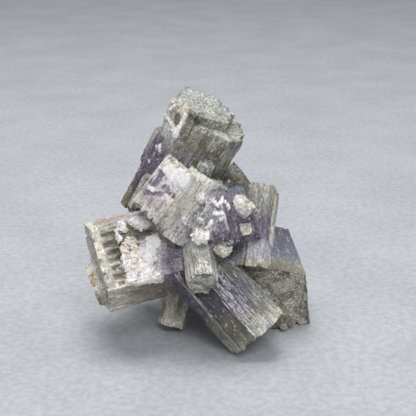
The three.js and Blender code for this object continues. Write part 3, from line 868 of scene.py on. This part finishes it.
def lump_mesh(lump, seed):
    """Points (mm), faces and attributes of one lump: broken stone, or crumbs where it is chalky."""
    chalky = lump.tone == "chalk"
    size = np.array(lump.size, float)
    points, triangles = ball(5 if size.max() > BIG_LUMP else 4)
    normal = unit(np.array(lump.normal, float))
    up = unit(np.array([0, 0, 1.0]) - normal[2] * normal)
    across = np.cross(up, normal)
    offset = seed * 11.9
    swell = layered_noise(points * 1.7 + offset, 3, LUMP_SEED) - 0.5
    reach = 0.80 + 0.45 * swell * (1.5 if chalky else 1.0)
    spot = points * size
    _, _, block = cell_noise(spot / 1.1 + offset, LUMP_BLOCK_SEED)
    crumb = hashed(*(np.floor((spot.T + 50) / CRUMB).astype(int)), seed=LUMP_CRUMB_SEED)
    reach = reach * (0.86 + 0.26 * block + (0.22 if chalky else 0.05) * (crumb - 0.5))
    local = spot * np.minimum(reach, 1.0 + 0.12 * chalky)[:, None]
    world = np.array(lump.at) + local[:, :1] * across + local[:, 1:2] * up + local[:, 2:] * normal
    masks = coverings(world)
    attributes = {
        "fibre": columns(world[:, 0], world[:, 2] * 4, world[:, 1]),
        # darker where the lump's surface is drawn in: painted shade
        "hollow": (0.35 if chalky else 0.7) * (1 - ramp(reach, 0.55, 0.95)),
        "crust": np.ones(len(world)) if chalky else masks["crust"],
        "chalk": masks["chalk"], "rust": masks["rust"],
        "tone": patched(np.tile(TONES[lump.tone], (len(world), 1)), world),
        "painted_glint": np.zeros(len(world)), "frost": np.full(len(world), 0.6), "lines": np.zeros(len(world)),
    }
    return with_blades((world, np.zeros((0, 4), int), triangles, attributes), seed)


def new_object(name, data):
    made = bpy.data.objects.new(name, data)
    bpy.context.scene.collection.objects.link(made)
    return made


def add_piece(name, mesh_parts, material):
    """A piece of the visual model, from a mesh in millimetres in the cluster's own coordinates."""
    points, quads, triangles, attributes = mesh_parts
    mesh = bpy.data.meshes.new(name)
    placed = np.clip((points - MIDDLE) * MM, *np.array(cad_box))
    mesh.from_pydata(placed.tolist(), [], quads.tolist() + triangles.tolist(), shade_flat=False)
    mesh.validate()
    for key, values in attributes.items():
        kind, field = ("FLOAT", "value") if values.ndim == 1 else ("FLOAT_VECTOR", "vector")
        layer = mesh.attributes.new(key, kind, "POINT")
        layer.data.foreach_set(field, values.astype(np.float32).ravel())
    mesh.set_sharp_from_angle(angle=SHARP_EDGE)
    mesh.materials.append(material)
    piece = new_object(name, mesh)
    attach(piece, "root")
    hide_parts(NODE)


# ---------- materials


class Nodes:
    """A new material's shader nodes. place is each point's place in millimetres."""

    def __init__(self, name):
        self.material = bpy.data.materials.new(name)
        self.material.use_nodes = True
        self.tree = self.material.node_tree
        self.shader = self.tree.nodes["Principled BSDF"]
        where = self.add("ShaderNodeTexCoord").outputs["Object"]
        self.place = self.stretched(where, (1 / MM, 1 / MM, 1 / MM))

    def add(self, kind, inputs=None, **settings):
        """A node with its settings and inputs. An input is a value or another node's output."""
        made = self.tree.nodes.new(kind)
        for key, value in settings.items():
            setattr(made, key, value)
        for key, value in (inputs or {}).items():
            if isinstance(value, bpy.types.NodeSocket):
                self.tree.links.new(value, made.inputs[key])
            else:
                made.inputs[key].default_value = value
        return made

    def link(self, value, socket):
        self.tree.links.new(value, self.shader.inputs[socket])

    def attribute(self, name, output="Fac"):
        return self.add("ShaderNodeAttribute", attribute_name=name).outputs[output]

    def stretched(self, vector, scale):
        return self.add("ShaderNodeMapping", {"Vector": vector, "Scale": scale}).outputs["Vector"]

    def noise(self, scale, detail=3.0, roughness=0.55, vector=None):
        made = self.add("ShaderNodeTexNoise", {
            "Vector": vector or self.place, "Scale": scale, "Detail": detail, "Roughness": roughness,
        })
        return made.outputs["Fac"]

    def band(self, value, low, high, to_low=0.0, to_high=1.0):
        """value between low and high, mapped smoothly to to_low..to_high."""
        inputs = {"Value": value, "From Min": low, "From Max": high, "To Min": to_low, "To Max": to_high}
        return self.add("ShaderNodeMapRange", inputs, interpolation_type="SMOOTHSTEP").outputs["Result"]

    def maths(self, operation, first, second):
        return self.add("ShaderNodeMath", {0: first, 1: second}, operation=operation).outputs[0]

    def times(self, first, *others):
        for other in others:
            first = self.maths("MULTIPLY", first, other)
        return first

    def plus(self, first, second):
        return self.maths("ADD", first, second)

    def mix(self, factor, first, second, mode="MIX"):
        """first and second mixed by factor. The colour sockets of a Mix node are its numbers 6 and 7."""
        inputs = {0: factor, 6: first, 7: second}
        return self.add("ShaderNodeMix", inputs, data_type="RGBA", blend_type=mode).outputs[2]

    def shaded(self, colour, value):
        """The colour times a plain number."""
        grey = self.add("ShaderNodeCombineColor", {0: value, 1: value, 2: value}).outputs[0]
        return self.mix(1.0, colour, grey, "MULTIPLY")

    def ragged_mask(self, name, scale, low=0.42, high=0.58):
        """A covering's mask with a crisp, crumbled edge."""
        edge = self.times(self.maths("SUBTRACT", self.noise(scale, 4.0, 0.7), 0.5), 0.9)
        return self.band(self.plus(self.attribute(name), edge), low, high)


def stone_colour(nodes, broad, fine, grain):
    """The tone with streaks along the growth strips and grain, darkened the deeper a point lies: painted
    shade in the hollows.
    """
    shade = nodes.times(
        nodes.band(broad, 0.3, 0.7, 0.90, 1.10), nodes.band(fine, 0.36, 0.64, 0.76, 1.26),
        nodes.band(grain, 0.36, 0.64, 0.62, 1.42),
        # painted shade: the deeper the point, the darker
        nodes.band(nodes.attribute("hollow"), 0.0, 1.0, 1.12, 0.50),
    )
    warmth = nodes.mix(nodes.band(broad, 0.4, 0.6), (0.97, 0.99, 1.02, 1), (1.03, 1.0, 0.96, 1))
    return nodes.mix(1.0, nodes.shaded(nodes.attribute("tone", "Color"), shade), warmth, "MULTIPLY")


def with_flecks(nodes, colour, fibre, grain, painted_glint):
    """White flecks, in clouds: specks everywhere and slivers along the strips, partly the stone's own
    white frost and partly painted glints, and long thin lines of painted highlight. Glinting grains
    get a painted glint.
    """

    def streaks(scale, detail, roughness):
        return nodes.noise(1.0, detail, roughness, nodes.stretched(fibre, scale))

    clouds = nodes.band(nodes.noise(0.35), 0.35, 0.65, -0.07, 0.07)
    density = nodes.plus(nodes.times(nodes.attribute("frost"), 0.05), clouds)
    # specks and slivers: partly white frost, partly painted glints
    specks = nodes.band(nodes.plus(streaks((1.9, 1.1, 1), 4.0, 0.8), density), 0.665, 0.69)
    slivers = nodes.band(nodes.plus(streaks((3.0, 0.8, 1), 2.0, 0.6), density), 0.72, 0.75)
    colour = nodes.mix(nodes.times(nodes.maths("MAXIMUM", specks, slivers), 0.88), colour, FLECK_AND_GLINT_WHITE)
    # Long thin lines of painted highlight along the strips.
    lines = nodes.plus(streaks((4.6, 0.20, 1), 2.0, 0.5), nodes.times(nodes.attribute("lines"), 0.16))
    lines = nodes.times(nodes.band(lines, 0.66, 0.70), nodes.band(grain, 0.42, 0.50))
    colour = nodes.mix(nodes.times(lines, 0.9), colour, FLECK_AND_GLINT_WHITE)
    # painted glint on the glinting grains
    return nodes.mix(nodes.times(painted_glint, 0.8), colour, (0.84, 0.83, 0.80, 1))


def with_rust(nodes, colour, blotch, grain):
    """Rust in broken blotches."""
    broken = nodes.band(blotch, 0.44, 0.56, 0.05, 0.85)
    rust = nodes.times(nodes.ragged_mask("rust", 0.8, 0.35, 0.80), broken)
    hue = nodes.mix(nodes.band(grain, 0.42, 0.58), (0.22, 0.11, 0.06, 1), (0.54, 0.27, 0.11, 1))
    return nodes.mix(rust, colour, hue)


def crust_colour(nodes, blotch, fine, grain, chalk):
    """The white of crusts and chalk: blushed, cooler in places, with painted shade in dark pits and veins,
    crumbled.
    """
    vein = nodes.maths("ABSOLUTE", nodes.maths("SUBTRACT", nodes.noise(0.75, 3.0, 0.65), 0.5), 0.0)
    clear_of_pit_shade = nodes.times(nodes.band(blotch, 0.36, 0.42), nodes.band(vein, 0.0, 0.025, 0.3, 1.0))
    blush = nodes.band(nodes.noise(0.45, 3.0, 0.6), 0.46, 0.58)
    white = nodes.mix(blush, (1.0, 0.985, 0.965, 1), (0.94, 0.83, 0.72, 1))
    cool = nodes.band(nodes.noise(0.7, 4.0, 0.7), 0.50, 0.60, 0.0, 0.4)
    white = nodes.mix(cool, white, (0.80, 0.775, 0.86, 1))
    # painted shade in the pits and along the veins
    white = nodes.mix(clear_of_pit_shade, (0.50, 0.44, 0.38, 1), white)
    white = nodes.mix(nodes.times(chalk, 0.5), white, (1.0, 0.995, 0.98, 1))
    threads = nodes.band(fine, 0.36, 0.56, 0.90, 1.08)
    return nodes.shaded(white, nodes.times(threads, nodes.band(grain, 0.38, 0.48, 0.82, 1.12)))


def aragonite_material():
    nodes = Nodes("aragonite")
    fibre = nodes.attribute("fibre", "Vector")
    painted_glint = nodes.attribute("painted_glint")
    broad = nodes.noise(1.0, 4.0, 0.6, nodes.stretched(fibre, (0.7, 0.15, 1)))
    fine = nodes.noise(1.0, 4.0, 0.7, nodes.stretched(fibre, (4.0, 0.45, 1)))
    grain = nodes.noise(1.5, 5.0, 0.8)
    blotch = nodes.noise(1.2, 5.0, 0.75)
    chalk = nodes.ragged_mask("chalk", 1.2, 0.30, 0.80)
    covered = nodes.maths("MAXIMUM", chalk, nodes.ragged_mask("crust", 1.1))
    colour = with_flecks(nodes, stone_colour(nodes, broad, fine, grain), fibre, grain, painted_glint)
    colour = with_rust(nodes, colour, blotch, grain)
    colour = nodes.mix(covered, colour, crust_colour(nodes, blotch, fine, grain, chalk))
    nodes.link(colour, "Base Color")

    polish = nodes.band(nodes.noise(0.9), 0.35, 0.65, 0.18, 0.55)
    polish = nodes.maths("SUBTRACT", polish, nodes.times(painted_glint, 0.10))
    nodes.link(nodes.maths("MAXIMUM", polish, nodes.times(covered, 0.75)), "Roughness")
    nodes.shader.inputs["IOR"].default_value = 1.6
    crumbs = nodes.times(nodes.noise(1.6, 5.0, 0.8), nodes.times(covered, 0.9))
    relief = nodes.plus(fine, nodes.times(nodes.noise(3.2, 4.0, 0.7), 0.9))
    relief = nodes.plus(relief, crumbs)
    bump = nodes.add("ShaderNodeBump", {"Height": relief, "Strength": 0.8, "Distance": 0.0003})
    nodes.link(bump.outputs["Normal"], "Normal")
    return nodes.material


def floor_material():
    """Pale stone with a fine grain."""
    nodes = Nodes("floor")
    grain = nodes.band(nodes.noise(0.5, 4.0, 0.7), 0.3, 0.7, 0.88, 1.10)
    cloud = nodes.band(nodes.noise(0.03, 3.0, 0.6), 0.3, 0.7, 0.94, 1.05)
    nodes.link(nodes.shaded((0.44, 0.455, 0.48, 1), nodes.times(grain, cloud)), "Base Color")
    nodes.shader.inputs["Roughness"].default_value = 0.75
    return nodes.material


# ---------- camera, light and floor


def add_camera():
    camera = new_object("camera", bpy.data.cameras.new("camera"))
    camera.data.lens = LENS
    camera.data.sensor_width = SENSOR
    camera.location = CAMERA_AT * MM
    camera.rotation_euler = (math.pi / 2 - CAMERA_PITCH, 0, 0)
    bpy.context.scene.camera = camera


def add_light(name, at, size, power, colour):
    """A soft square light that looks at the cluster."""
    light = new_object(name, bpy.data.lights.new(name, "AREA"))
    light.data.size = size
    light.data.energy = power
    light.data.color = colour
    light.location = at
    light.rotation_euler = (Vector(LIGHT_AIM) - Vector(at)).to_track_quat("-Z", "Y").to_euler()


def add_floor():
    mesh = bpy.data.meshes.new("floor")
    corners = [(x * FLOOR_SIZE, y * FLOOR_SIZE, 0) for x, y in ((-1, -1), (1, -1), (1, 1), (-1, 1))]
    mesh.from_pydata(corners, [], [(0, 1, 2, 3)])
    mesh.materials.append(floor_material())
    new_object("floor", mesh)


def add_world():
    bpy.context.scene.view_settings.view_transform = "Standard"
    world = bpy.data.worlds.new("world")
    world.use_nodes = True
    background = world.node_tree.nodes["Background"]
    background.inputs["Color"].default_value = (0.80, 0.84, 0.90, 1)
    background.inputs["Strength"].default_value = 0.45
    bpy.context.scene.world = world


# ---------- the scene

add_camera()
add_world()
add_floor()
add_light("key", at=(-0.06, 0.08, 0.75), size=0.42, power=4.4, colour=(1.0, 0.99, 0.97))
add_light("front", at=(0.15, -0.50, 0.60), size=0.28, power=2.2, colour=(0.97, 0.98, 1.0))

stone = aragonite_material()
for number, crystal in enumerate(CRYSTALS, start=1):
    add_piece(crystal.name, crystal_mesh(crystal, number), stone)
for number, lump in enumerate(LUMPS, start=1):
    add_piece(lump.name, lump_mesh(lump, number), stone)
